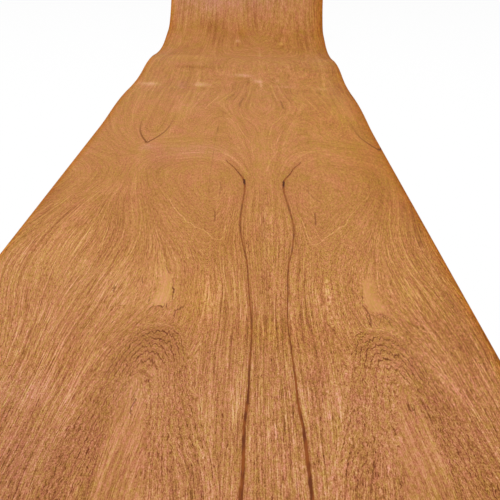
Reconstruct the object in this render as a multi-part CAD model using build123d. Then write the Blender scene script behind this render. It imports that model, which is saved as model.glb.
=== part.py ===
from build123d import *
import math
import os

# Wood veneer sheet: two book-matched leaves, jointed edge to edge along one seam.
# Millimetres. X runs across the sheet, Y along the grain from the near end to the far end, Z up.
# The sheet lies show face up, with two low swells and a far end that still curls from the roll.

# Leaves
sheet_length = 2440.0  # along the grain, measured on the flat sheet: 8 ft stock
leaf_thickness = 0.6  # sliced face veneer
left_leaf_width = 362.0
right_leaf_width = 248.0  # the same leaf opened over, then trimmed narrower

# Low swells across the sheet, where it doesn't lie quite flat
long_swell_span = 463.0
long_swell_height = 6.2
crest_swell_span = 479.0
crest_swell_height = 12.6

# Curl at the far end: a long foot, a straight flank, a tighter knee and a slack tip
foot_radius = 700.0
foot_angle = 12.0
flank_length = 90.0
knee_radius = 120.0
knee_angle = 25.0
tip_radius = 300.0
tip_angle = 37.0


def swell_turn(span, height):
    """Steepest slope, in degrees, of a swell of four equal arcs with this span and height."""
    return math.degrees(2 * math.atan(2 * height / span))


def swell_radius(span, height):
    """Radius of each arc of that swell."""
    return span / (4 * math.sin(math.radians(swell_turn(span, height))))


def swell_turns(span, height):
    """The (radius, turn) arcs that lift the sheet over its crest and set it down again."""
    turn, radius = swell_turn(span, height), swell_radius(span, height)
    return [(radius, turn), (radius, -2 * turn), (radius, turn)]


def arc_length(turns):
    return sum(radius * math.radians(abs(turn)) for radius, turn in turns)


long_swell = swell_turns(long_swell_span, long_swell_height)
crest_swell = swell_turns(crest_swell_span, crest_swell_height)
curl_foot = [(foot_radius, foot_angle)]
curl_end = [(knee_radius, knee_angle), (tip_radius, tip_angle)]

# The flat run is what the stock length leaves after the swells and the curl
shaped_length = arc_length(long_swell + crest_swell + curl_foot + curl_end) + flank_length
flat_run = sheet_length - shaped_length


def follow_arcs(line, turns):
    """Adds tangent arcs, positive turns upwards, to the end of a line and gives the last one."""
    for radius, turn in turns:
        line = JernArc(line @ 1, line % 1, radius, turn)
    return line


def lying_line():
    """Underside of the sheet from the near end to the tip of the curl, drawn in the YZ plane."""
    with BuildLine(Plane.YZ) as underside:
        line = Line((0, 0), (flat_run, 0))
        line = follow_arcs(line, long_swell + crest_swell + curl_foot)
        line = PolarLine(line @ 1, flank_length, direction=line % 1)
        follow_arcs(line, curl_end)
    return underside.line


def sheet_section():
    """Closed section of the sheet: its underside and, one leaf thickness above, its show face."""
    underside = lying_line()
    section = make_face(offset(underside, amount=leaf_thickness, side=Side.RIGHT))
    reach = section.bounding_box()
    return Pos(0, -(reach.min.Y + reach.max.Y) / 2, 0) * section


def leaf(section, left_edge, width):
    """One leaf of this width, its section drawn out across the sheet from its left edge."""
    return Pos(left_edge, 0, 0) * extrude(section, amount=width, dir=(1, 0, 0))


section = sheet_section()
left_edge = -(left_leaf_width + right_leaf_width) / 2
seam = left_edge + left_leaf_width

os.makedirs("parts", exist_ok=True)
export_step(leaf(section, left_edge, left_leaf_width), "parts/left_leaf.step")
export_step(leaf(section, seam, right_leaf_width), "parts/right_leaf.step")
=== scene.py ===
import bpy
import math
import numpy as np
from mathutils import Matrix, Vector


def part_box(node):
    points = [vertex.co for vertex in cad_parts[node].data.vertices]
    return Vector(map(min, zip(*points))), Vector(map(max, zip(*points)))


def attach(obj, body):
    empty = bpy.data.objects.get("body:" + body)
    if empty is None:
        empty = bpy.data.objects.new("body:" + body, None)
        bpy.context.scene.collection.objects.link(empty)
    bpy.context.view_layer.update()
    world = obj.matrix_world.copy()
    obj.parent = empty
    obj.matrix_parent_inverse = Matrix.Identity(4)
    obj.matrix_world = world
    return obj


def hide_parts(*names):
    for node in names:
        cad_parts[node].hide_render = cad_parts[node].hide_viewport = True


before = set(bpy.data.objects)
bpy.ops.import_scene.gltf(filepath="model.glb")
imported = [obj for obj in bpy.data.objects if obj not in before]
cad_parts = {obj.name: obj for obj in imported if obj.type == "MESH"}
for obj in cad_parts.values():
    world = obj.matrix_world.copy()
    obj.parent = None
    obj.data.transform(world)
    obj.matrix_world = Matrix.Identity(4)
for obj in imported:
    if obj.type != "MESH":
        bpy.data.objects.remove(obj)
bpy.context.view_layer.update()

# Millimetres on the flat sheet: q is the distance from the seam, s the distance from the near end.
# The right leaf is the left one opened over, so both share one figure in q and s.
MM = 0.001

# The lying line of the sheet, as in the part's source
SHEET_LENGTH = 2440.0
LEAF_THICKNESS = 0.6
LONG_SWELL = (463.0, 6.2)
CREST_SWELL = (479.0, 12.6)
CURL_FOOT = (700.0, 12.0)
FLANK_LENGTH = 90.0
CURL_KNEE = (120.0, 25.0)
CURL_TIP = (300.0, 37.0)

# Grid of a leaf: columns on its show face and on its underside, and rows along it, closer together
# where the camera is near
SHOW_COLUMN = 2.6
BACK_COLUMN = 12.0
NEAR_ROW = 3.6
FAR_ROW = 7.6
NEAR_LENGTH = 1250.0

# Grain lines of the figure: each has the level of its growth layer and its points (q, s)
GRAIN_LINES = [
    # The seam, and the line that leaves the channel for the arch over it
    (0, [(0, -60), (0, 400), (0, 800), (0, 1000)]),
    (15, [(13, -60), (12, 80), (11, 200), (10, 310), (13, 450), (18, 540), (19, 600), (16, 700), (16, 760),
          (26, 799), (39, 868), (56, 926), (81, 969), (110, 986), (144, 970), (185, 952), (222, 934)]),
    # The pitch line, its bend over the oval and the U that it turns into under the crotch
    (30, [(27, -60), (25.5, 80), (24, 180), (22.5, 240), (20, 310), (23.5, 380), (26, 450), (35, 515),
          (40, 565), (39, 600), (34, 700), (35, 750), (50, 795), (74, 842), (100, 895), (135, 912),
          (178, 911), (214, 906), (240, 907), (262, 914), (282, 932), (298, 955), (312, 985), (325, 1025),
          (336, 1080), (345, 1150), (352, 1250)]),
    (21, [(32, 790), (48, 850), (68, 900), (95, 938), (125, 945), (160, 938), (200, 925), (235, 919),
          (255, 926), (270, 944), (284, 975), (298, 1020), (310, 1070), (322, 1120), (335, 1220),
          (340, 1400), (342, 1650), (338, 1900), (328, 2150), (320, 2500)]),
    (13, [(60, 985), (75, 1035), (90, 1062), (102, 1062), (112, 1035), (124, 1000), (142, 975), (170, 957),
          (205, 942)]),
    (11, [(24, 880), (29, 920), (35, 970), (43, 1015), (53, 1050), (62, 1088), (74, 1115), (88, 1128),
          (101, 1130), (114, 1120), (124, 1075), (132, 1025), (143, 993), (157, 972), (177, 958),
          (205, 948)]),
    # Over the arch: leaves the seam side, passes the arch and runs up the sheet
    (7, [(14, 850), (20, 920), (28, 975), (37, 1020), (45, 1060), (54, 1105), (62, 1145), (68, 1190),
         (69, 1235), (66, 1275), (60, 1320), (56, 1370), (54, 1430), (56, 1490)]),
    (4, [(8, 880), (13, 980), (19, 1050), (26, 1088), (38, 1112), (50, 1142), (57, 1180), (60, 1215),
         (58, 1250), (53, 1290), (47, 1340), (44, 1420), (44, 1485)]),
    # A bowl over the seam, one line inside another
    (1, [(0, 1104), (14, 1106), (28, 1114), (41, 1136), (49, 1165), (53, 1205), (51, 1245), (45, 1290),
         (38, 1350), (35, 1430), (34, 1480)]),
    (-2, [(0, 1130), (13, 1136), (27, 1158), (36, 1195), (38, 1240), (34, 1290), (28, 1350), (25, 1430),
          (24, 1480)]),
    (-5, [(0, 1175), (11, 1186), (20, 1220), (22, 1270), (18, 1340), (14, 1430), (13, 1475)]),
    (-7, [(0, 1230), (6, 1260), (8, 1340), (6, 1470)]),
    (8.5, [(127, 1195), (114, 1236), (98, 1272), (86, 1303), (76, 1337), (70, 1380), (67, 1430),
           (68, 1490)]),
    (10, [(176, 985), (165, 1040), (157, 1130), (148, 1190), (136, 1235), (125, 1280), (121, 1330),
          (130, 1400), (128, 1500)]),
    (9, [(202, 975), (190, 1060), (178, 1150), (168, 1250), (160, 1350), (152, 1450), (150, 1500),
         (154, 1600), (160, 1700), (166, 1820), (166, 1950), (158, 2080), (150, 2200), (148, 2350),
         (150, 2500)]),
    # The crotch mark, carried on to the far end, and the wood inside it
    (8, [(184, 2500), (188, 2200), (196, 2000), (200, 1800), (196, 1600), (192, 1450), (196, 1300),
         (202, 1150), (206, 1100), (213, 1020), (230, 960), (242, 934), (259, 975), (269, 1010),
         (275, 1050), (281, 1150), (287, 1250), (290, 1400), (294, 1600), (292, 1900), (280, 2150),
         (272, 2500)]),
    (-4, [(226, 2500), (225, 2300), (230, 2100), (238, 1900), (240, 1700), (238, 1500), (236, 1300),
          (240, 1150), (242, 1020)]),
    # The fan below the crotch, from the outer edge inwards: each line comes from the edge, turns by the
    # crotch and runs down the sheet
    (34, [(362, 772), (350, 764), (347, 750), (352, 728), (362, 695)]),
    (38, [(362, 812), (348, 800), (334, 789), (325, 777), (324, 762), (329, 735), (337, 700), (346, 655),
          (362, 585)]),
    (43, [(362, 868), (345, 851), (328, 834), (312, 819), (299, 805), (292, 790), (291, 770), (296, 738),
          (305, 700), (318, 650), (332, 595), (346, 535), (362, 465)]),
    (48, [(362, 915), (345, 897), (325, 878), (305, 861), (285, 845), (270, 832), (261, 815), (259, 790),
          (262, 765), (268, 735), (277, 700), (287, 655), (297, 600), (304, 550), (309, 500), (309, 455),
          (305, 410), (298, 370), (288, 328), (276, 260), (268, 180), (262, 80), (258, -60)]),
    (52, [(362, 972), (345, 945), (325, 922), (305, 905), (285, 888), (266, 872), (254, 855), (249, 835),
          (248, 800), (250, 769), (254, 720), (261, 680), (270, 640), (278, 600), (284, 560), (289, 520),
          (290, 480), (288, 440), (284, 400), (277, 355), (270, 310), (262, 250), (256, 180), (252, 80),
          (249, -60)]),
    # Up beside the channel, over the oval and down the fan
    (60, [(38, -60), (38, 80), (40, 200), (38, 310), (42, 400), (44, 450), (48, 515), (51, 566), (49, 639),
          (46, 700), (48, 760), (62, 805), (82, 850), (105, 884), (140, 893), (180, 890), (212, 882),
          (232, 866), (241, 840), (244, 805), (245, 769), (243, 710), (238, 655), (231, 610), (225, 570),
          (221, 530), (220, 490), (222, 450), (227, 410), (233, 365), (237, 325), (239, 290), (240, 240),
          (240, 180), (239, 80), (238, -60)]),
    (66, [(238, 835), (240, 800), (240, 769), (236, 715), (229, 670), (220, 632), (210, 595), (203, 555),
          (200, 515), (200, 480), (203, 440), (208, 395), (214, 355), (220, 315), (224, 270), (227, 230),
          (229, 180), (228, 80), (226, -60)]),
    (72, [(53, 775), (68, 818), (88, 852), (112, 873), (145, 879), (180, 875), (208, 864), (226, 843),
          (233, 815), (232, 780), (224, 728), (211, 668), (198, 598), (193, 540), (190, 479), (193, 425),
          (199, 365), (208, 313), (214, 230), (215, 150), (214, 60), (212, -60)]),
    (76, [(192, 862), (212, 840), (222, 812), (224, 780), (215, 735), (200, 672), (184, 598), (170, 530),
          (162, 470), (160, 440), (163, 402), (168, 362), (177, 318), (186, 270), (193, 220), (197, 150),
          (199, 60), (200, -60)]),
    (78, [(176, 240), (164, 270), (152, 292), (142, 318), (134, 345), (130, 375), (131, 400), (136, 430),
          (146, 462), (155, 492), (165, 530)]),
    (80, [(150, 272), (136, 292), (120, 308), (109, 324), (104, 342), (102, 365), (102, 385), (105, 412),
          (113, 445), (128, 483), (146, 520), (165, 562), (183, 615), (198, 668), (213, 732), (219, 775),
          (215, 812), (202, 840), (180, 858), (150, 868), (115, 864)]),
    (83, [(72, -60), (74, 100), (77, 200), (78, 260), (78, 310), (80, 360), (84, 400), (90, 435),
          (104, 472), (124, 512), (146, 558), (166, 610), (188, 670), (205, 732), (209, 770), (203, 808),
          (186, 834), (160, 850), (130, 858), (104, 852), (80, 828), (64, 795), (56, 755)]),
    (86, [(54, -60), (54, 80), (55, 200), (56, 300), (57, 370), (60, 425), (66, 462), (79, 495), (100, 530),
          (126, 572), (150, 618), (174, 668), (194, 725), (200, 765), (194, 802), (175, 828), (150, 842),
          (125, 848), (103, 842), (82, 818), (68, 790), (58, 755), (54, 700), (54, 640), (56, 575),
          (56, 540)]),
    # The big oval, its pointed foot and its heart
    (89, [(188, 738), (176, 694), (154, 654), (128, 608), (104, 568), (86, 536), (74, 524), (66, 538),
          (62, 566), (60, 639), (59, 700), (62, 755), (73, 793), (90, 821), (110, 832), (135, 827),
          (160, 815), (180, 794), (190, 768)]),
    (94, [(72, 602), (84, 603), (105, 618), (130, 650), (148, 690), (158, 735), (150, 775), (130, 795),
          (105, 800), (84, 785), (73, 750), (69, 700), (69, 650)]),
    (99, [(84, 682), (95, 674), (112, 686), (123, 710), (121, 742), (105, 760), (89, 750), (81, 720)]),
    # The far half: an eye by the seam past the crest, and flat lines over it that cross the seam
    (9, [(96, 1330), (98, 1400), (95, 1500), (100, 1600), (104, 1700), (96, 1790), (70, 1835), (40, 1848),
         (0, 1850)]),
    (12, [(72, 1560), (70, 1640), (64, 1705), (54, 1745), (40, 1758), (27, 1745), (19, 1705), (16, 1640),
          (15, 1580)]),
    (15, [(56, 1630), (55, 1668), (50, 1695), (41, 1705), (33, 1694), (29, 1664), (28, 1630)]),
    (6, [(0, 1950), (30, 1950), (70, 1945), (110, 1950), (124, 2020), (118, 2110), (112, 2200), (116, 2300),
         (122, 2500)]),
    # A U over the seam in the curl, one line inside another
    (4, [(0, 2032), (20, 2052), (42, 2095), (55, 2170), (68, 2240), (76, 2330), (80, 2500)]),
    (0, [(0, 2092), (12, 2098), (30, 2132), (46, 2210), (50, 2260), (52, 2350), (54, 2500)]),
    (-4, [(0, 2160), (14, 2185), (26, 2260), (32, 2360), (34, 2500)]),
    (-8, [(0, 2260), (8, 2290), (14, 2380), (16, 2500)]),
]
# The arches near the near end, as layers of their own laid over that figure
ARCH_LINES = [
    (80, [(32, 80), (42, 120), (53, 160), (66, 205), (78, 252), (87, 292), (97, 316), (111, 324),
          (128, 324), (143, 320), (156, 306), (168, 273), (180, 223), (190, 160), (198, 100), (203, 40)]),
    (88, [(47, 80), (57, 120), (69, 160), (81, 205), (90, 245), (95, 280), (101, 300), (112, 306),
          (126, 307), (139, 304), (150, 292), (161, 266), (171, 215), (179, 165), (186, 110), (190, 40)]),
    (94, [(60, 80), (70, 125), (80, 165), (88, 205), (97, 258), (103, 279), (113, 288), (128, 289),
          (142, 283), (152, 262), (163, 215), (171, 160), (178, 100), (182, 40)]),
    (100, [(66, -60), (74, 60), (86, 130), (97, 200), (105, 245), (111, 267), (120, 273), (132, 272),
           (143, 258), (155, 205), (163, 140), (170, 60), (174, -60)]),
    (106, [(84, -60), (90, 60), (98, 140), (106, 200), (114, 245), (123, 256), (134, 253), (142, 237),
           (149, 195), (155, 140), (160, 60), (163, -60)]),
    (112, [(96, -60), (101, 60), (108, 140), (115, 195), (124, 232), (131, 238), (138, 225), (144, 180),
           (149, 120), (152, 40), (154, -60)]),
]
# Distances along the sheet count for less than distances across it, because the figure is drawn out
# lengthways. A grain line counts at points a spacing apart, and slack lets the surface pass them by
ALONG_WEIGHT = 0.4
GRAIN_SPACING = 14.0
GRAIN_SLACK = 2.0
POINTS_AT_ONCE = 8000
# Levels per millimetre that the layers change by at the very least
LEAST_STEEPNESS = 0.015

# The arches are worked out up to this distance along the sheet. They take over from the rest of the
# figure between two layers, and stop between two distances
ARCH_REACH = 340.0
ARCH_BLEND = (84.5, 89.0)
ARCH_TOP = (318, 306)

# Dark resin lines: (s, q) of the pitch line in each leaf and of the crotch mark's arms
PITCH_LINE = {
    "left_leaf": [(-60, 27.5), (82, 26.3), (106, 25.1), (145, 25.1), (167, 24.7), (182, 23.0), (196, 21.6),
                  (222, 21.4), (248, 20.8), (303, 18.9), (340, 20.5), (380, 23.5), (450, 26), (480, 30),
                  (515, 35), (565, 39.5), (600, 39), (640, 37.5), (700, 34), (742, 35.5), (760, 39),
                  (775, 45), (800, 53), (815, 59), (828, 65), (842, 74)],
    "right_leaf": [(-60, 32), (97, 30.8), (132, 29.9), (147, 29.6), (167, 28.7), (180, 26.2), (197, 25.8),
                   (224, 25.7), (248, 24.7), (274, 24.1), (305, 22.1), (345, 23), (380, 25.5), (420, 27),
                   (455, 30), (480, 35), (505, 38), (540, 42), (565, 43), (590, 42), (640, 38.5), (700, 33),
                   (745, 34.3), (760, 38), (775, 46), (800, 53), (815, 57), (830, 65), (843, 73)],
}
PITCH_HALF_WIDTH = [(-60, 1.7), (100, 1.6), (175, 1.3), (230, 0.9), (330, 0.7), (450, 0.85), (560, 1.35),
                    (690, 1.35), (725, 1.7), (745, 1.8), (760, 1.3), (800, 1.1), (842, 0.8)]
PITCH_STRENGTH = [(-60, 1.0), (220, 0.95), (300, 0.8), (400, 0.85), (500, 0.72), (690, 0.72), (725, 0.9),
                  (815, 0.9), (842, 0.75), (856, 0.0)]
CROTCH_INNER = [(934, 242), (960, 230), (995, 219), (1020, 213), (1060, 209), (1100, 206), (1150, 202),
                (1240, 199)]
CROTCH_OUTER = [(934, 242), (975, 259), (1010, 269), (1050, 275), (1100, 278), (1150, 281), (1240, 286)]
CROTCH_STRENGTH = [(928, 0.0), (936, 0.95), (985, 0.75), (1015, 0.6), (1060, 0.35), (1110, 0.15),
                   (1160, 0.0)]

# Thin pale lines, drawn like the marks below: round the foot of the oval, and over and beside the bowl
PALE_LINES = {
    "left_leaf": [
        (0.8, 1.1, [(165, 671), (155, 645), (148, 626)]),
        (1.0, 1.1, [(148, 626), (139, 605), (131, 590), (126.5, 586), (122.5, 573)]),
        (0.9, 1.2, [(122.5, 573), (114.5, 568), (105.5, 554), (95, 547), (86.5, 537)]),
        (0.9, 1.1, [(86.5, 537), (78, 519), (71, 517), (64.5, 518), (61.5, 536), (61, 560)]),
        (0.8, 1.6, [(115, 1303), (124, 1256), (133, 1223), (139.5, 1186)]),
        (0.5, 1.6, [(112, 1130), (95.5, 1121), (73.5, 1113), (58, 1082), (48, 1034), (37, 992),
                    (28.5, 957)]),
        (0.5, 1.6, [(55, 1189), (53, 1159), (47, 1132), (32, 1117)]),
        (0.5, 2.6, [(166, 873), (138, 883), (110, 889), (85, 890), (62, 863), (45, 825), (30.5, 779)]),
        (0.4, 2.6, [(163, 848), (132, 858), (104, 857), (78.5, 841)]),
        (0.35, 1.5, [(94.6, 396), (76.5, 392.6)]),
        (0.5, 1.2, [(79.7, 369), (77.3, 354)]),
        (0.5, 1.2, [(71.6, 377), (68.6, 350)]),
        (0.4, 1.2, [(66, 368), (63.4, 345)]),
    ],
    "right_leaf": [
        (0.6, 1.2, [(174.5, 685), (160, 660), (145, 629)]),
        (0.9, 1.1, [(145, 629), (135, 610), (127, 588), (122.5, 574)]),
        (1.0, 1.4, [(122.5, 574), (114.5, 571), (106, 556), (99, 547)]),
        (0.8, 1.1, [(99, 547), (88.5, 533), (80, 519), (73, 511), (66, 512), (63, 523)]),
        (0.7, 1.1, [(63, 523), (59.5, 564), (57, 586), (55, 601)]),
        (0.5, 1.6, [(119, 1298), (125, 1251), (134, 1217), (141, 1168)]),
        (0.25, 1.6, [(174, 1202), (164, 1153), (155, 1119)]),
        (0.5, 1.5, [(15, 1014), (19, 1057), (25, 1090), (37, 1113), (53, 1164)]),
        (0.6, 1.4, [(28.5, 958), (34, 994), (40, 1016)]),
        (0.5, 2.6, [(31.6, 794), (44, 852), (60, 890), (84, 911), (109, 909), (134, 897), (165, 886),
                    (192, 882)]),
        (0.4, 2.0, [(4.6, 792), (12.5, 850), (28, 903), (48, 936)]),
        (0.3, 1.5, [(66.4, 389), (87.2, 383.6)]),
        (0.4, 1.2, [(66.3, 362), (65.6, 343)]),
    ],
}

# Pale lines of the fan, the same on both leaves
FAN_LINES = [
    (0.55, 1.0, [(220, 647), (204, 577), (198, 527), (198, 459), (210, 419), (218, 373)]),
    (0.6, 1.1, [(207, 648), (191, 578), (185.5, 528), (186.5, 481), (193, 434), (202, 396), (206, 361)]),
    (0.45, 1.0, [(228, 632), (213, 563), (207, 503)]),
    (0.45, 1.0, [(236.5, 530), (228.5, 468), (235, 403), (235.5, 359)]),
    (0.4, 1.2, [(286, 634), (289, 545), (292.5, 508), (287, 454)]),
]

# Plain tongue inside the arches, between two routes of (s, q)
TONGUE_INNER = [(-60, 96), (60, 104), (100, 108), (140, 110), (160, 115), (180, 120), (207, 127), (226, 135)]
TONGUE_OUTER = [(-60, 150), (75, 148), (158, 146.5), (180, 145), (192, 143), (207, 139), (226, 136)]
# Growth layers across the tongue: their level at its foot, level per millimetre, and lean of its streaks
TONGUE_LEVEL, TONGUE_STEEPNESS, TONGUE_LEAN = 74.0, 0.3, 0.07
# Distances over which it comes in at its sides, and goes out at its tip
TONGUE_RIM = (-3, 3)
TONGUE_TIP = (228, 214)

# Pale bare patch above the arches: crisp on its seam side and at its foot, and faded on its other side
PATCH_INNER = [(340, 122), (350, 121.4), (358, 120), (367, 119.2), (378, 119.4), (392, 120.6), (409, 123.8),
               (426, 131), (434, 134.5), (450, 140)]
PATCH_OUTER = [(340, 144), (350, 143), (366, 140.5), (378, 137), (391, 136), (426, 134.5), (450, 133)]
PATCH_FOOT = 346

# Long edges are redder and darker over this width, (s, width), and by this colour at the very edge
RIM_REACH = {
    "left_leaf": [(0, 6), (250, 8.5), (450, 11), (650, 13), (1050, 18), (1450, 24), (1850, 30), (2350, 36)],
    "right_leaf": [(0, 10), (250, 16), (450, 20), (650, 25), (1050, 34), (1450, 43), (1850, 54), (2350, 62)],
}
RIM_COLOURS = {"left_leaf": (0.99, 0.89, 0.54, 1.0), "right_leaf": (0.87, 0.7, 0.22, 1.0)}
# The trimmed edge itself, over its last few millimetres
EDGE_COLOURS = {"left_leaf": (0.93, 0.8, 0.34, 1.0), "right_leaf": (0.86, 0.74, 0.1, 1.0)}

# A stroke's strength is full up to the second distance from it, and gone at the first
STROKE_FADE = (9, 6)
# Short ragged dark marks: strength, half width and points (q, s)
MARKS = {
    "left_leaf": [
        (0.6, 0.4, [(122, 406), (119.1, 397), (118.7, 387)]),
        (1.1, 0.9, [(118.7, 385), (116.8, 381), (116.8, 373)]), (0.9, 0.6, [(116.8, 370), (116, 361)]),
        (0.6, 0.6, [(134.5, 437), (129, 422)]), (0.9, 0.8, [(137.9, 344), (141.1, 336)]),
        (1.0, 0.7, [(132, 344), (128.5, 346), (126.4, 342)]), (0.9, 0.6, [(121, 348), (121.1, 342)]),
        (0.8, 0.7, [(103.6, 345), (104.6, 339), (108.8, 338), (109.9, 334), (109.5, 325)]),
        (0.7, 0.6, [(100.8, 346), (101.8, 341)]), (0.7, 0.7, [(143.4, 360), (144, 354)]),
        (0.8, 0.7, [(160.9, 405), (158.7, 396)]), (0.8, 1.3, [(191, 382), (190.8, 376)]),
        (0.7, 0.5, [(132, 194), (133, 189)]), (0.9, 0.6, [(129.5, 187), (130.5, 181)]),
        (0.8, 0.7, [(132.5, 177), (131, 170)]), (1.5, 1.7, [(36, 748), (35, 731)]),
        (0.25, 0.7, [(103, 1050), (101, 928), (98, 753), (96, 690)]), (0.7, 1.1, [(80, 609), (78, 582)]),
        (0.35, 1.4, [(79, 732), (75.5, 711), (77, 686)]),
        (0.5, 2.2, [(48, 1297), (52.5, 1266), (56.5, 1236), (56, 1212)]),
        (0.4, 2.6, [(91, 1273), (85, 1303), (74, 1337)]), (0.5, 1.3, [(101, 1057), (100, 1020)]),
    ],
    "right_leaf": [
        (0.5, 0.4, [(121.5, 398), (118.8, 383)]), (0.9, 0.7, [(118.4, 380), (117.8, 374)]),
        (0.5, 0.4, [(116.8, 370), (114.9, 359)]),
        (0.9, 0.6, [(116.5, 358), (118.5, 349), (120.5, 340), (120.4, 330)]),
        (0.8, 0.5, [(120.4, 327), (119.1, 317)]), (0.6, 0.6, [(103.7, 336), (107.4, 317)]),
        (0.8, 0.5, [(128.5, 338), (133, 341), (136.6, 340), (138.5, 332)]),
        (0.8, 0.5, [(133.7, 334), (129.1, 322)]), (0.9, 0.6, [(140.3, 328), (143, 317)]),
        (0.7, 0.5, [(140.5, 338), (145, 331)]), (0.8, 0.5, [(116.5, 337), (117.7, 319)]),
        (0.6, 0.7, [(107.3, 397), (107.7, 381)]), (1.0, 0.8, [(132.9, 192), (132.8, 183)]),
        (0.8, 0.5, [(137.8, 188), (136.6, 176)]), (0.7, 0.5, [(146.7, 201), (149.2, 184), (149.5, 169)]),
        (1.5, 1.7, [(34.8, 744), (34, 726)]), (0.8, 1.0, [(80, 615), (77, 576)]),
        (0.35, 1.4, [(78, 727), (76, 705), (80, 681), (91, 664)]),
        (0.5, 2.2, [(48.5, 1272), (51, 1235), (53, 1207)]),
    ],
}

# Places where long streaks don't show: (q, s, reach across, reach along, strength)
QUIET_PLACES = [(132, 380, 40, 60, 1.0), (110, 690, 68, 120, 0.9), (150, 1080, 60, 90, 0.4),
                (200, 1750, 110, 200, 0.4), (122, 325, 38, 26, 0.7), (78, 500, 34, 70, 0.8),
                (240, 1040, 26, 50, 0.6), (125, 545, 40, 55, 0.75), (205, 590, 30, 60, 0.4),
                (110, 2300, 260, 90, 0.5), (40, 1560, 60, 90, 0.6), (0, 2150, 90, 120, 0.5)]

# Soft spots, mostly of the figure and some of them painted shade in the far half: (q, s, reach across, reach
# along, tone), paler when positive
SPOTS = [
    (140, 425, 10, 30, 0.3), (122, 150, 14, 70, 0.25), (242, 860, 9, 60, 0.3), (172, 1180, 24, 50, 0.2),
    # (210, 1632) is a dark band across the crest, partly figure and partly painted shade; (186, 2170) and
    # (72, 2185) are painted shade in the concave foot of the curl
    (100, 1158, 28, 12, -0.3), (210, 1632, 65, 18, -0.35), (265, 1800, 60, 50, 0.2),
    (132, 1780, 26, 30, 0.25), (100, 1700, 40, 40, -0.1), (186, 2170, 45, 60, -0.3),
    (72, 2185, 14, 45, -0.2), (105, 720, 50, 90, -0.08), (75, 865, 7, 34, 0.3), (150, 240, 12, 30, -0.2),
    (158, 170, 13, 40, -0.25), (178, 100, 15, 40, -0.15), (190, 40, 16, 50, -0.15),
    (124, 285, 28, 16, -0.25),
]

# Uneven colour of the whole sheet, with painted shade and painted light in the far half: (x from the seam,
# s, reach across, reach along, tone, blue)
PATCHES = [
    (212, 820, 40, 260, -0.4, -0.11), (226, 320, 45, 150, -0.28, -0.02), (200, 120, 60, 80, -0.35, 0.0),
    # (160, 2080) and (-115, 2150) are painted shade in the concave foot of the curl, and (-262, 2390) and
    # (-10, 2410) are painted light on its upright top
    (170, 1250, 90, 500, -0.05, -0.11), (160, 2080, 110, 140, -0.3, -0.08),
    (-115, 2150, 110, 90, -0.25, 0.0), (-262, 2390, 200, 100, 0.3, 0.2), (-10, 2410, 130, 90, 0.3, 0.16),
    (-130, 357, 60, 28, 0.28, 0.0), (-328, 418, 40, 60, 0.3, 0.02), (-236, 420, 40, 40, 0.2, 0.02),
    (-2, 300, 40, 26, -0.15, -0.1), (70, 280, 60, 50, -0.12, -0.06), (-227, 240, 40, 30, -0.3, -0.06),
    (232, 262, 30, 50, -0.35, -0.04), (-130, 200, 30, 28, 0.15, 0.06), (-250, 196, 30, 34, 0.2, 0.08),
    (-191, 124, 30, 34, -0.2, 0.04), (155, 145, 24, 34, 0.3, 0.0), (25, 100, 24, 24, 0.3, 0.03),
    (246, 2250, 26, 130, -0.35, -0.05), (-352, 670, 18, 90, -0.35, -0.02), (-237, 908, 14, 20, 0.2, 0.16),
    # (-60, 2400) is painted light on the curl's upright top
    (-60, 2400, 240, 80, 0.12, 0.08), (176, 103, 24, 20, 0.3, -0.03), (56, 100, 24, 24, 0.2, 0.0),
    (75, 318, 24, 24, 0.2, 0.0), (125, 312, 26, 20, 0.2, 0.0), (-280, 480, 24, 40, 0.25, 0.0),
    (-85, 350, 26, 60, 0.0, -0.08), (-225, 90, 40, 70, -0.2, 0.08), (-250, 385, 120, 60, 0.12, 0.04),
    (-240, 215, 60, 60, 0.15, 0.0), (-145, 425, 25, 50, 0.2, 0.0), (-165, 1230, 45, 120, 0.16, 0.04),
    (-202, 840, 30, 70, -0.25, 0.05), (-135, 900, 75, 45, 0.08, 0.1), (0, 290, 60, 70, -0.25, 0.0),
    (-50, 518, 40, 50, -0.2, -0.05), (132, 260, 45, 50, 0.25, 0.0), (75, 165, 40, 40, 0.25, 0.02),
    (-66, 110, 30, 60, 0.2, 0.03),
    # Streaks by the seam, and pale and coloured specks of the far half: the pale specks from about 1430 to
    # 1570 along are painted glare highlights on the crest's near flank
    (0.5, 550, 2, 110, 0.5, 0.04), (-3.5, 560, 2.5, 120, -0.35, 0.05), (9, 560, 2, 110, 0.45, 0.0),
    (22, 570, 2, 90, 0.4, 0.0), (-23, 580, 2, 110, 0.4, 0.0), (-318, 1440, 30, 22, 1.0, 0.14),
    (-172, 1450, 22, 26, 1.3, 0.16), (-57, 1568, 30, 18, 0.75, 0.2), (-55, 1535, 30, 12, -0.4, -0.06),
    (-26, 1528, 12, 16, 0.6, 0.12), (-9, 1510, 11, 20, 1.0, 0.14), (-1, 1470, 4, 60, 1.0, 0.12),
    (-38, 1488, 4, 36, -0.8, -0.04), (68, 1461, 22, 18, 0.5, 0.1), (49, 1513, 12, 16, 0.5, 0.08),
    (170, 1444, 22, 22, 0.8, 0.08), (-3, 1925, 4, 75, 0.7, 0.08), (-226, 1430, 14, 50, 0.1, 0.14),
    (-87, 2099, 9, 16, 1.0, 0.15), (80, 2088, 10, 14, 1.1, -0.05), (78, 2062, 16, 10, -0.5, -0.06),
    # (-200, 2240) is painted shade in the curl's foot, (-215, 1640) a dark band across the crest, partly
    # figure and partly painted shade, and (-200, 2330) painted light on the curl's top
    (-86, 2076, 12, 10, -0.4, -0.04), (-200, 2240, 50, 30, -0.45, -0.04), (-22, 2290, 9, 90, -0.55, -0.02),
    (-49, 2320, 7, 40, -0.4, -0.06), (-215, 1640, 60, 18, -0.3, -0.06), (-72, 2190, 18, 50, 0.1, -0.12),
    (-240, 1780, 70, 80, 0.2, -0.06), (-200, 2330, 30, 50, 0.25, 0.1),
]


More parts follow.
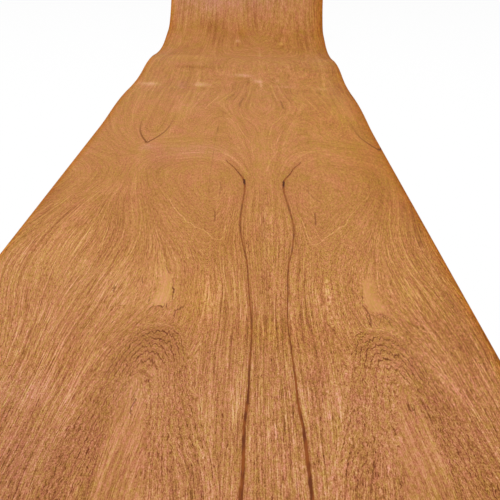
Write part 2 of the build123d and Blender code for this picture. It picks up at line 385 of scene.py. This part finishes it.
def rise(value, low, high):
    """0 below low, 1 above high and a smooth step between; the other way round when low is above high."""
    share = np.clip((value - low) / (high - low), 0, 1)
    return share * share * (3 - 2 * share)


def arc_turns(span, height):
    """Arcs (radius, turn) of a swell: up over its crest and down again, in three tangent arcs."""
    turn = math.degrees(2 * math.atan(2 * height / span))
    radius = span / (4 * math.sin(math.radians(turn)))
    return [(radius, turn), (radius, -2 * turn), (radius, turn)]


def run_steps(part, slope, bend):
    """Steps in y and z over each part of a run, and the slope there. A straight run goes on at its slope,
    and an arc turns by its bend, one over its radius, so its steps are differences of sines and cosines."""
    if bend == 0:
        return part * math.cos(slope), part * math.sin(slope), slope + 0 * part
    turned = slope + part * bend
    return (np.sin(turned) - math.sin(slope)) / bend, (math.cos(slope) - np.cos(turned)) / bend, turned


def lying_line(stations):
    """Underside points (y, z) and slopes of the sheet at each distance along it, run after run."""
    arcs = arc_turns(*LONG_SWELL) + arc_turns(*CREST_SWELL) + [CURL_FOOT, CURL_KNEE, CURL_TIP]
    runs = [(radius * math.radians(abs(turn)), math.copysign(1 / radius, turn)) for radius, turn in arcs]
    runs.insert(-2, (FLANK_LENGTH, 0.0))
    runs.insert(0, (SHEET_LENGTH - sum(length for length, bend in runs), 0.0))
    y, z, slope = np.zeros((3, len(stations)))
    start, y0, z0, slope0 = 0.0, 0.0, 0.0, 0.0
    for length, bend in runs:
        # The run's own end is added to its stations, and is where the next run starts
        here = stations >= start - 1e-6
        part = np.append(np.clip(stations[here] - start, 0, length), length)
        step_y, step_z, slopes = run_steps(part, slope0, bend)
        y[here], z[here], slope[here] = y0 + step_y[:-1], z0 + step_z[:-1], slopes[:-1]
        y0, z0, slope0 = y0 + step_y[-1], z0 + step_z[-1], slopes[-1]
        start += length
    return y, z, slope


def spline(squared):
    """Squared distance times the log of the distance, which a smooth surface is a sum of."""
    return 0.5 * squared * np.log(squared + 1e-12)


def fit_grain(lines):
    """Smooth surface through the levels of the grain lines: a weighted sum of splines round points of
    the lines, and a plane, with weights from one set of linear equations."""
    places, levels = [], []
    for level, line in lines:
        q, s = np.array(line, float).T
        reach = np.concatenate([[0], np.cumsum(np.hypot(np.diff(q), np.diff(s) * ALONG_WEIGHT))])
        steps = np.linspace(0, reach[-1], max(len(line), int(reach[-1] / GRAIN_SPACING) + 1))
        places.append(np.stack([np.interp(steps, reach, q), np.interp(steps, reach, s * ALONG_WEIGHT)], 1))
        levels.append(np.full(len(steps), float(level)))
    places, levels = np.concatenate(places), np.concatenate(levels)
    count = len(places)
    squared = ((places[:, None] - places[None]) ** 2).sum(-1)
    system = np.zeros((count + 3, count + 3))
    system[:count, :count] = spline(squared) + GRAIN_SLACK * count * np.eye(count)
    system[:count, count:] = np.concatenate([np.ones((count, 1)), places], 1)
    system[count:, :count] = system[:count, count:].T
    weights = np.linalg.solve(system, np.concatenate([levels, np.zeros(3)]))
    return places, weights


def grain_level(grain, q, s):
    """Level of that surface at each point, worked out some rows at a time."""
    places, weights = grain
    flat_q, flat_s = q.ravel(), s.ravel() * ALONG_WEIGHT
    level = weights[-3] + weights[-2] * flat_q + weights[-1] * flat_s
    for rows in np.array_split(np.arange(len(flat_q)), max(1, len(flat_q) // POINTS_AT_ONCE)):
        squared = (flat_q[rows, None] - places[:, 0]) ** 2 + (flat_s[rows, None] - places[:, 1]) ** 2
        level[rows] += spline(squared) @ weights[:-3]
    return level.reshape(q.shape)


GRAIN = fit_grain(GRAIN_LINES)
ARCH_GRAIN = fit_grain(ARCH_LINES)


def along(stations, route):
    """Value at each distance along the sheet of a route given as (s, value) points."""
    at, value = np.array(route, float).T
    return np.interp(stations, at, value)


def smooth_route(stations, route):
    """The same with its corners rounded: the mean of seven readings a few millimetres apart."""
    return np.mean([along(stations + shift, route) for shift in np.linspace(-12, 12, 7)], axis=0)


def route_offset(q, s, route):
    """Distance in millimetres across the grain from a route, signed outwards from the seam."""
    slope = (smooth_route(s + 2, route) - smooth_route(s - 2, route)) / 4
    return (q - smooth_route(s, route)) / np.sqrt(1 + slope ** 2)


def bells(q, s, places):
    """Sum of soft spots: each falls off as a bell in both directions from its middle."""
    total = np.zeros(q.shape)
    for middle_q, middle_s, reach_q, reach_s, strength in places:
        total += strength * np.exp(-((q - middle_q) / reach_q) ** 2 - ((s - middle_s) / reach_s) ** 2)
    return total


def stroke_offset(q, s, strokes):
    """Signed distance from the middle line of the nearest stroke, in half widths of that stroke, and
    the stroke's strength there, which fades out a few millimetres away from it."""
    nearest = np.full(q.shape, 1e6)
    offset, strength = np.full(q.shape, 1e3), np.zeros(q.shape)
    for stroke_strength, half_width, points in strokes:
        for (q0, s0), (q1, s1) in zip(points[:-1], points[1:]):
            length = math.hypot(q1 - q0, s1 - s0)
            along_q, along_s = (q1 - q0) / length, (s1 - s0) / length
            run = np.clip((q - q0) * along_q + (s - s0) * along_s, 0, length)
            away_q, away_s = q - q0 - run * along_q, s - s0 - run * along_s
            distance = np.hypot(away_q, away_s)
            closer = distance < nearest
            side = np.where(along_q * away_s - along_s * away_q < 0, -1.0, 1.0)
            nearest = np.where(closer, distance, nearest)
            offset = np.where(closer, side * distance / half_width, offset)
            strength = np.where(closer, stroke_strength * rise(distance, *STROKE_FADE), strength)
    return offset, strength


def figure(node, side, q, s, width):
    """Everything the veneer's finish reads from a leaf, as one value a point."""
    # The arches are layers of their own, with a plain tongue of straight grain inside them
    level = grain_level(GRAIN, q, s)
    near = s[:, 0] < ARCH_REACH
    arch_level = np.full(q.shape, float(ARCH_LINES[0][0]))
    arch_level[near] = grain_level(ARCH_GRAIN, q[near], s[near])
    arches = rise(arch_level, *ARCH_BLEND) * rise(s, *ARCH_TOP)
    level += (arch_level - level) * arches
    tongue = rise(q - along(s, TONGUE_INNER), *TONGUE_RIM) * rise(along(s, TONGUE_OUTER) - q, *TONGUE_RIM)
    tongue *= rise(s, *TONGUE_TIP)
    level += (TONGUE_LEVEL + TONGUE_STEEPNESS * (q + TONGUE_LEAN * s) - level) * tongue
    arches = arches * (1 - tongue)
    # The waves reach nearer the near end on the arches' outer flank
    wavy = arches * rise(s + 2 * np.clip(q - 140, 0, 60), 60, 190)
    slope_s, slope_q = np.gradient(level, s[:, 0], q[0])
    steepness = np.maximum(np.hypot(slope_s, slope_q), LEAST_STEEPNESS)
    inner, outer = (route_offset(q, s, arm) for arm in (CROTCH_INNER, CROTCH_OUTER))
    patch = np.minimum(q - along(s, PATCH_INNER), (s - PATCH_FOOT) * 0.7)
    patch_strength = rise(along(s, PATCH_OUTER) - q, -6, 8)
    mark, mark_strength = stroke_offset(q, s, MARKS[node])
    pale_line, pale_line_strength = stroke_offset(q, s, PALE_LINES[node] + FAN_LINES)
    # The spots and patches summed into shade include painted shade in the curl's foot and across the crest,
    # and painted light and glare highlights on the curl's top and the crest's near flank
    tones = [(*place, tone) for *place, tone, blue in PATCHES]
    blues = [(*place, blue) for *place, tone, blue in PATCHES]
    near_tone = 0.06 * (rise(s, 620, 420) - rise(s, 200, 130))
    return dict(
        q=q, s=s, level=level, steepness=steepness, arches=arches, wavy=wavy,
        mark=mark, mark_strength=mark_strength,
        pale_line=pale_line, pale_line_strength=pale_line_strength,
        pitch=route_offset(q, s, PITCH_LINE[node]),
        pitch_half_width=along(s, PITCH_HALF_WIDTH),
        pitch_strength=along(s, PITCH_STRENGTH),
        crotch=np.where(np.abs(inner) < np.abs(outer), inner, outer),
        crotch_strength=along(s, CROTCH_STRENGTH),
        crosswise=rise(np.abs(slope_s) / steepness, 0.25, 0.6),
        shade=bells(q, s, SPOTS) + bells(side * q, s, tones) + near_tone,
        blueness=bells(side * q, s, blues) + 0.09 * rise(s, 420, 230),
        streaky=1 - np.minimum(np.maximum(bells(q, s, QUIET_PLACES), wavy), 1),
        plain=np.maximum(tongue * 0.4, rise(patch, -3, 1) * patch_strength),
        patch=np.clip(patch, -9, 9), patch_strength=patch_strength,
        crest=np.maximum(rise(s + 0.6 * (q - 125), 226, 250), 0.25 * rise(q, 140, 160)),
        far=rise(s, 850, 1500) + 0.3 * rise(s, 2180, 2300),
        coarse=rise(s, 900, 480),
        edge=width - q,
        rim=1 - np.clip((width - q) / along(s, RIM_REACH[node]), 0, 1),
    )


def evenly(first, last, step):
    """Values from first to last, about one step apart."""
    return np.linspace(first, last, round(abs(last - first) / step) + 1)


def leaf_skin(show_columns, back_columns, rows, low_y):
    """Points and faces of one leaf as a closed skin. Every row is a ring: over the show face from
    left to right, and back along the underside, one thickness below it along the normal."""
    y, z, slope = lying_line(rows)
    y += low_y
    across, under = len(show_columns), len(back_columns)
    ring = across + under
    points = np.empty((len(rows), ring, 3))
    points[:, :, 0] = np.concatenate([show_columns, back_columns[::-1]])
    points[:, :across, 1] = (y - LEAF_THICKNESS * np.sin(slope))[:, None]
    points[:, :across, 2] = (z + LEAF_THICKNESS * np.cos(slope))[:, None]
    points[:, across:, 1] = y[:, None]
    points[:, across:, 2] = z[:, None]
    index = np.arange(len(rows) * ring).reshape(len(rows), ring)
    after = np.roll(index, -1, axis=1)
    faces = np.stack([index[:-1], after[:-1], after[1:], index[1:]], -1).reshape(-1, 4).tolist()
    # Each end is closed by one strip of faces: a column of the underside with the show columns over it
    shared = np.searchsorted(show_columns, back_columns - 1e-6)
    for column in range(under - 1):
        over = np.arange(shared[column], shared[column + 1] + 1)
        below = ring - 1 - np.array([column, column + 1])
        loop = np.concatenate([over[::-1], below])
        faces.append(loop.tolist())
        faces.append((loop[::-1] + (len(rows) - 1) * ring).tolist())
    return points, faces


def add_object(name, data):
    """New object in the scene."""
    made = bpy.data.objects.new(name, data)
    bpy.context.collection.objects.link(made)
    return made


def make_leaf(name, node):
    """One leaf: its skin, and the figure's values at every point of it."""
    low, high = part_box(node)
    left, right = low[0] / MM, high[0] / MM
    seam, side = (right, -1) if node == "left_leaf" else (left, 1)
    back_columns = evenly(left, right, BACK_COLUMN)
    each = max(1, round((back_columns[1] - back_columns[0]) / SHOW_COLUMN))
    show_columns = np.linspace(left, right, (len(back_columns) - 1) * each + 1)
    rows = np.concatenate([evenly(0, NEAR_LENGTH, NEAR_ROW), evenly(NEAR_LENGTH, SHEET_LENGTH, FAR_ROW)[1:]])
    points, faces = leaf_skin(show_columns, back_columns, rows, low[1] / MM)
    mesh = bpy.data.meshes.new(name)
    mesh.from_pydata((points.reshape(-1, 3) * MM).tolist(), [], faces)
    mesh.update()

    # The underside shows the same figure, because the leaf is thin, so it takes the show face's values
    outwards = np.sort(side * (show_columns - seam))
    q, s = np.meshgrid(outwards, rows)
    for key, value in figure(node, side, q, s, right - left).items():
        show = value if side == 1 else value[:, ::-1]
        both = np.concatenate([show, show[:, ::each][:, ::-1]], axis=1)
        layer = mesh.attributes.new(key, "FLOAT", "POINT")
        layer.data.foreach_set("value", both.ravel().astype(np.float32))
    leaf = add_object(name, mesh)
    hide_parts(node)
    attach(leaf, "root")
    return leaf


class Wiring:
    """Adds nodes to one material or world. A value is a socket or a plain number."""

    def __init__(self, owner):
        owner.use_nodes = True
        self.tree = owner.node_tree
        self.tree.nodes.clear()

    def node(self, kind, inputs=(), **settings):
        """New node with these settings. Its inputs come as a list in order, or by name or number."""
        made = self.tree.nodes.new(kind)
        for key, value in settings.items():
            setattr(made, key, value)
        named = inputs if isinstance(inputs, dict) else dict(enumerate(inputs))
        for key, value in named.items():
            if isinstance(value, bpy.types.NodeSocket):
                self.tree.links.new(value, made.inputs[key])
            else:
                made.inputs[key].default_value = value
        return made

    def math(self, operation, *values, clamp=False):
        return self.node("ShaderNodeMath", values, operation=operation, use_clamp=clamp).outputs[0]

    def plus(self, a, b):
        return self.math("ADD", a, b)

    def minus(self, a, b):
        return self.math("SUBTRACT", a, b)

    def over(self, a, b):
        return self.math("DIVIDE", a, b)

    def times(self, product, *factors):
        for factor in factors:
            product = self.math("MULTIPLY", product, factor)
        return product

    def attribute(self, name):
        return self.node("ShaderNodeAttribute", attribute_name=name).outputs["Fac"]

    def noise(self, x, y, z, detail=1.0):
        """Noise from 0 to 1, with one full wave about every unit of its place."""
        place = self.node("ShaderNodeCombineXYZ", (x, y, z)).outputs[0]
        inputs = {"Vector": place, "Scale": 1.0, "Detail": detail}
        return self.node("ShaderNodeTexNoise", inputs, noise_dimensions="3D").outputs["Fac"]

    def step(self, value, low, high, to_low=0.0, to_high=1.0, kind="SMOOTHSTEP"):
        """Change from to_low to to_high while the value goes from low to high, eased at both ends
        unless it's linear."""
        inputs = (value, low, high, to_low, to_high)
        return self.node("ShaderNodeMapRange", inputs, interpolation_type=kind).outputs[0]

    def line_at(self, value, clear, full):
        """A line where the value is 0: full up to one distance from it, and gone at the clear one."""
        return self.step(self.math("ABSOLUTE", value), clear, full)

    def between(self, share, a, b):
        return self.node("ShaderNodeMix", {0: share, 2: a, 3: b}, data_type="FLOAT").outputs[0]

    def tint(self, share, a, b, blend="MIX"):
        inputs = {0: share, 6: a, 7: b}
        return self.node("ShaderNodeMix", inputs, data_type="RGBA", blend_type=blend).outputs[2]


def colour(red, green, blue):
    """Linear colour from the 0 to 255 values that a screen shows."""
    shown = np.array([red, green, blue]) / 255
    linear = np.where(shown <= 0.04045, shown / 12.92, ((shown + 0.055) / 1.055) ** 2.4)
    return (*linear.tolist(), 1.0)


# Wood colours from the darkest streak to the palest, at these tones
WOOD_TONES = [(-3.0, colour(104, 52, 20)), (-2.0, colour(132, 74, 32)), (-1.0, colour(162, 99, 47)),
              (0.0, colour(191, 127, 67)), (1.0, colour(216, 154, 92)), (2.0, colour(234, 180, 122))]
# The wood's hue strays between these two, which multiply its colour
OLIVE, PINKISH = (0.90, 1.04, 0.66, 1.0), (1.08, 0.96, 1.34, 1.0)
RESIN_HALO, RESIN_DARK, RESIN_RED = colour(160, 98, 40), colour(106, 46, 10), colour(146, 74, 22)
CROTCH_BROWN, MARK_BROWN, KNOT_BROWN = colour(124, 68, 16), colour(104, 48, 6), colour(40, 12, 6)
# A streak of noise strays by about an eighth of its range, so this makes its usual stray one tone
STREAK_GAIN = 8.0
# Noise that differs between the leaves is read this far away on each
SLICE_SHIFT = {"left_leaf": 0.0, "right_leaf": 7.4}
# A dark line of the arches lies at this level, and another every so many levels
ARCH_LINE_LEVEL, ARCH_LINE_STEP = 88.0, 2.0


def veneer(name, node):
    """Veneer finish. Streaks are noise read along the growth layers, at a width in millimetres:
    two octaves of the level are mixed so that the width holds however steep the layers lie."""
    material = bpy.data.materials.new(name)
    w = Wiring(material)
    read, mix, own = w.attribute, w.between, SLICE_SHIFT[node]
    q, s, level, steepness = read("q"), read("s"), read("level"), read("steepness")
    arches, wavy, crest, crosswise = read("arches"), read("wavy"), read("crest"), read("crosswise")
    plain, coarse, far = read("plain"), read("coarse"), read("far")

    def patchy(across, length, seed, detail=1.0):
        """Noise of this size in millimetres, which ignores the layers, from 0 to 1."""
        return w.noise(w.over(q, across), w.over(s, length), seed, detail)

    def stray(noise, reach):
        """The same noise about 0, drawn out to this reach."""
        return w.times(w.minus(noise, 0.5), reach)

    def dots(across, length, seed):
        """Noise of this size that ignores the layers, about 0 and usually in 1."""
        return stray(patchy(across, length, seed), STREAK_GAIN)

    # The layers wander a little, less by the seam, and curl in short waves over the arches. A wave runs
    # across the layers for longer than it does along them, so neighbouring lines curl alike
    ripple = mix(crosswise, patchy(14.0, 5.5, own), patchy(3.4, 24.0, own))
    ripple_reach = w.plus(w.times(wavy, mix(crosswise, 4.5, 17.0)), 0.5)
    wander_reach = w.step(q, 10.0, 70.0, 2.0, 12.0)
    offset = w.plus(stray(ripple, ripple_reach), stray(patchy(60.0, 150.0, 3.0), wander_reach))
    layer = w.plus(level, w.times(offset, steepness))

    def streaks(width, length, seed):
        """Noise of this width across the layers and this length along them, about 0 and usually in 1."""
        octave = w.times(w.math("LOGARITHM", w.times(steepness, width), 2.0), -1.0)
        whole = w.math("FLOOR", octave)
        share = w.minus(octave, whole)
        pair = []
        for extra in (0.0, 1.0):
            scale = w.math("POWER", 2.0, w.plus(whole, extra))
            place = w.plus(w.times(layer, scale), seed)
            pair.append(w.noise(place, w.over(q, length), w.over(s, length)))
        # Two noises mixed stray less than one alone, which the root of their squared shares makes up for
        power = w.plus(w.times(share, share), w.math("POWER", w.minus(1.0, share), 2.0))
        return w.over(stray(mix(share, *pair), STREAK_GAIN), w.math("SQRT", power))

    def add(tone, streak, *amounts):
        return w.plus(tone, w.times(streak, *amounts))

    # Streaks and dots of every size are laid over the tone, each times its amounts. The first amount of
    # a mix is for far along the sheet, or for places where long streaks don't show
    nearest = w.times(coarse, coarse)
    lively = w.minus(1.0, w.times(plain, 0.75))
    streaky = w.times(read("streaky"), lively)
    calm = w.minus(1.0, w.times(arches, crest, 0.5))
    # The tone starts from shade, which holds painted shade, painted light and painted glare highlights of
    # the far half as well as the figure's spots
    tone = read("shade")
    for laid in [
        (streaks(0.85, 8.0, 11.3 + own), mix(coarse, 0.14, 0.42), lively, calm),
        (streaks(1.2, 90.0, 7.1 + own), mix(nearest, 0.12, 0.46), mix(streaky, 0.3, 1.0)),
        (streaks(2.6, 240.0, 15.9), mix(coarse, 0.1, 0.12), streaky),
        (streaks(9.0, 300.0, 5.7), mix(nearest, 0.12, 0.08), mix(streaky, 0.4, 1.0)),
        (streaks(30.0, 320.0, 1.9), 0.07),
        (streaks(5.0, 130.0, 43.0), far, 0.2, mix(streaky, 0.5, 1.0)),
        (dots(3.0, 8.0, 19.0 + own), mix(coarse, 0.24, 0.09), mix(streaky, 1.6, 1.0), lively),
        (dots(1.5, 1.8, 9.0 + own), w.plus(w.times(coarse, 0.13), w.times(wavy, 0.12)), lively),
        (dots(9.0, 24.0, 53.0 + own), far, 0.14),
        (dots(0.9, 1.7, 13.0 + own), nearest, lively, 0.55),
    ]:
        tone = add(tone, *laid)

    # Pale lines: thin, long, and where a slow noise crosses its middle, so that they never cross
    near_line = w.line_at(streaks(5.2, 240.0, 31.7), 0.22, 0.05)
    far_line = w.line_at(streaks(15.0, 420.0, 37.7), 0.22, 0.04)
    fade = w.step(dots(40.0, 110.0, 61.0), -0.6, 1.2)
    tone = add(tone, near_line, mix(coarse, 0.0, 1.2), streaky, fade)
    tone = add(tone, far_line, mix(coarse, 0.42, 0.2), streaky, fade)

    # Thin dark lines, drawn the same way from another slow noise
    dark_line = w.line_at(streaks(5.0, 160.0, 83.9 + own), 0.2, 0.06)
    fade = w.step(dots(30.0, 60.0, 87.0), -0.9, 0.9)
    tone = add(tone, dark_line, mix(nearest, 0.0, -0.9), streaky, fade)

    # Arches: dark wavy lines a step apart, every second one stronger, and here and there broken
    turns = w.times(w.minus(layer, ARCH_LINE_LEVEL), 2 * math.pi / ARCH_LINE_STEP)
    second = w.math("SINE", w.plus(w.times(turns, 0.5), 0.8))
    line = w.step(add(w.math("SINE", turns), second, 0.4), 0.35, 1.1)
    unbroken = w.step(patchy(9.0, 6.0, 5.0 + own), 0.24, 0.42)
    tone = add(tone, line, unbroken, arches, mix(crest, -0.65, -2.0))

    # Pores: short dark dashes, more of them over the arches
    pore_share = w.step(add(streaks(0.8, 6.0, 23.1 + own), arches, 0.3), 0.8, 1.6)
    pore = w.times(pore_share, mix(coarse, 0.2, 1.0), lively)
    tone = add(tone, pore, -1.6)

    # The pale patch, with a crisp uneven rim, and the drawn pale lines
    patch_place = w.plus(read("patch"), stray(patchy(4.0, 6.0, 83.0 + own, 2.0), 9.0))
    tone = add(tone, w.step(patch_place, -0.8, 0.8), read("patch_strength"), 0.65)
    tone = add(tone, w.line_at(read("pale_line"), 1.4, 0.3), read("pale_line_strength"), 1.1)

    lowest, highest = WOOD_TONES[0][0], WOOD_TONES[-1][0]
    ramp = w.node("ShaderNodeValToRGB", [w.step(tone, lowest, highest, kind="LINEAR")])
    while len(ramp.color_ramp.elements) < len(WOOD_TONES):
        ramp.color_ramp.elements.new(0.5)
    for stop, (at, shade) in zip(ramp.color_ramp.elements, WOOD_TONES):
        stop.position = (at - lowest) / (highest - lowest)
        stop.color = shade
    wood = ramp.outputs[0]

    # Hue strays between an olive and a pinkish brown
    hue = w.times(streaks(2.2, 24.0, 41.3 + own), 0.3)
    hue = add(hue, dots(2.8, 4.6, 47.0 + own), 0.42)
    hue = add(hue, dots(9.0, 24.0, 59.0 + own), mix(coarse, 0.25, 0.1))
    hue = add(hue, dots(40.0, 90.0, 67.0), mix(coarse, 0.3, 0.15))
    hue = w.math("ADD", w.times(hue, 0.5), 0.5, clamp=True)
    wood = w.tint(1.0, wood, w.tint(hue, OLIVE, PINKISH), "MULTIPLY")
    bluer = w.node("ShaderNodeCombineColor", [1.0, 1.0, w.plus(w.times(read("blueness"), 2.3), 1.0)])
    wood = w.tint(1.0, wood, bluer.outputs[0], "MULTIPLY")

    # Resin lines, a little ragged, redder in places
    pitch_place = w.plus(read("pitch"), stray(patchy(6.0, 9.0, 71.0, 2.0), 1.6))
    pitch_gap = w.minus(w.math("ABSOLUTE", pitch_place), read("pitch_half_width"))
    pitch = w.times(w.step(pitch_gap, 0.7, -0.4), read("pitch_strength"))
    halo = w.times(w.step(pitch_gap, 4.0, 0.0), read("pitch_strength"), 0.28)
    redness = w.step(patchy(4.0, 22.0, 73.0, 2.0), 0.38, 0.62)
    wood = w.tint(halo, wood, RESIN_HALO)
    wood = w.tint(pitch, wood, w.tint(redness, RESIN_DARK, RESIN_RED))
    crotch = w.times(w.line_at(read("crotch"), 3.2, 0.8), read("crotch_strength"))
    wood = w.tint(crotch, wood, CROTCH_BROWN)

    # Dark marks, with a ragged outline, and the knots where a mark's strength is over 1
    mark_place = w.plus(read("mark"), stray(patchy(4.0, 4.0, 79.0), 4.0))
    mark = w.times(w.line_at(mark_place, 1.5, 0.6), read("mark_strength"))
    wood = w.tint(w.math("MULTIPLY", mark, 0.8, clamp=True), wood, MARK_BROWN)
    wood = w.tint(w.math("SUBTRACT", mark, 1.0, clamp=True), wood, KNOT_BROWN)

    # Long edge: redder along it, and darker where it was trimmed
    wood = w.tint(read("rim"), wood, w.tint(1.0, wood, RIM_COLOURS[node], "MULTIPLY"))
    edge = w.step(w.over(read("edge"), mix(coarse, 13.0, 6.0)), 1.0, 0.0)
    wood = w.tint(edge, wood, w.tint(1.0, wood, EDGE_COLOURS[node], "MULTIPLY"))

    bump = w.node("ShaderNodeBump", {"Strength": 0.25, "Distance": 0.0002, "Height": w.times(pore, -1.0)})
    finish = {"Base Color": wood, "Specular IOR Level": 0.14, "Roughness": mix(pore, 0.62, 0.85),
              "Normal": bump.outputs[0]}
    shader = w.node("ShaderNodeBsdfPrincipled", finish)
    w.node("ShaderNodeOutputMaterial", {"Surface": shader.outputs[0]})
    return material


WHITE = (1.0, 1.0, 1.0, 1.0)
FLOOR_TONE = (0.8, 0.8, 0.8, 1.0)
FLOOR_REACH = 30.0  # metres each way
# Share of the floor's look that is its own even white, so that only a trace of the shadow shows
FLOOR_GLOW = 0.93


def make_floor():
    """Pale plain floor under the sheet. The camera sees it white, with a trace of the sheet's shadow."""
    mesh = bpy.data.meshes.new("floor")
    corners = [(x * FLOOR_REACH, y * FLOOR_REACH, 0) for x, y in ((-1, -1), (1, -1), (1, 1), (-1, 1))]
    mesh.from_pydata(corners, [], [(0, 1, 2, 3)])
    floor = add_object("floor", mesh)
    material = bpy.data.materials.new("pale_floor")
    w = Wiring(material)
    # Rays from the camera, straight or by way of a mirror or glass, see the white look
    rays = w.node("ShaderNodeLightPath").outputs
    mirrored = w.math("MAXIMUM", rays["Is Glossy Ray"], rays["Is Transmission Ray"])
    seen = w.math("MAXIMUM", rays["Is Camera Ray"], mirrored)
    matt = w.node("ShaderNodeBsdfDiffuse", {"Color": w.tint(seen, FLOOR_TONE, WHITE)})
    glow = w.node("ShaderNodeEmission", {"Color": WHITE})
    looks = [w.times(seen, FLOOR_GLOW), matt.outputs[0], glow.outputs[0]]
    w.node("ShaderNodeOutputMaterial", {"Surface": w.node("ShaderNodeMixShader", looks).outputs[0]})
    mesh.materials.append(material)


# Strength of the soft light from all round, and the power of the lamp in watts
ROOM_LIGHT = 0.55
LAMP_POWER = 42.0
LAMP_SIZE = 2.5
LAMP_PLACE = (0.0, -0.3, 2.6)


def light_studio():
    """White room: soft light from all round and from one wide lamp overhead. The camera sees it white."""
    world = bpy.data.worlds.new("soft_room")
    bpy.context.scene.world = world
    w = Wiring(world)
    from_camera = w.node("ShaderNodeLightPath").outputs["Is Camera Ray"]
    light = {"Color": WHITE, "Strength": w.between(from_camera, ROOM_LIGHT, 1.0)}
    w.node("ShaderNodeOutputWorld", {"Surface": w.node("ShaderNodeBackground", light).outputs[0]})
    lamp = bpy.data.lights.new("overhead", "AREA")
    lamp.shape = "SQUARE"
    lamp.size = LAMP_SIZE
    lamp.energy = LAMP_POWER
    # It faces the middle of the floor
    facing = Vector(LAMP_PLACE).to_track_quat("Z", "Y").to_matrix().to_4x4()
    add_object("overhead", lamp).matrix_world = Matrix.Translation(LAMP_PLACE) @ facing


# Camera, fitted to the sheet's edges in the photograph
CAMERA_PLACE = (0.0287, -1.4025, 0.3998)
CAMERA_YAW, CAMERA_PITCH, CAMERA_ROLL = 0.42, 29.04, -2.04
FOCAL_PIXELS = 583.0
FRAME_PIXELS = 500.0
SENSOR_WIDTH = 36.0


def add_camera():
    """Camera that looks along the sheet: yaw turns it right, pitch down and roll clockwise."""
    lens = bpy.data.cameras.new("camera")
    lens.sensor_width = SENSOR_WIDTH
    lens.lens = FOCAL_PIXELS / FRAME_PIXELS * SENSOR_WIDTH
    lens.clip_start = 0.01
    camera = add_object("camera", lens)
    stance = Matrix.Translation(CAMERA_PLACE)
    for angle, axis in ((-CAMERA_YAW, "Z"), (90 - CAMERA_PITCH, "X"), (-CAMERA_ROLL, "Z")):
        stance = stance @ Matrix.Rotation(math.radians(angle), 4, axis)
    camera.matrix_world = stance
    bpy.context.scene.camera = camera


for side in ("left", "right"):
    node = side + "_leaf"
    leaf = make_leaf(node + "_veneer", node)
    leaf.data.materials.append(veneer(side + "_veneer", node))

make_floor()
light_studio()
add_camera()
bpy.context.scene.view_settings.view_transform = "Standard"
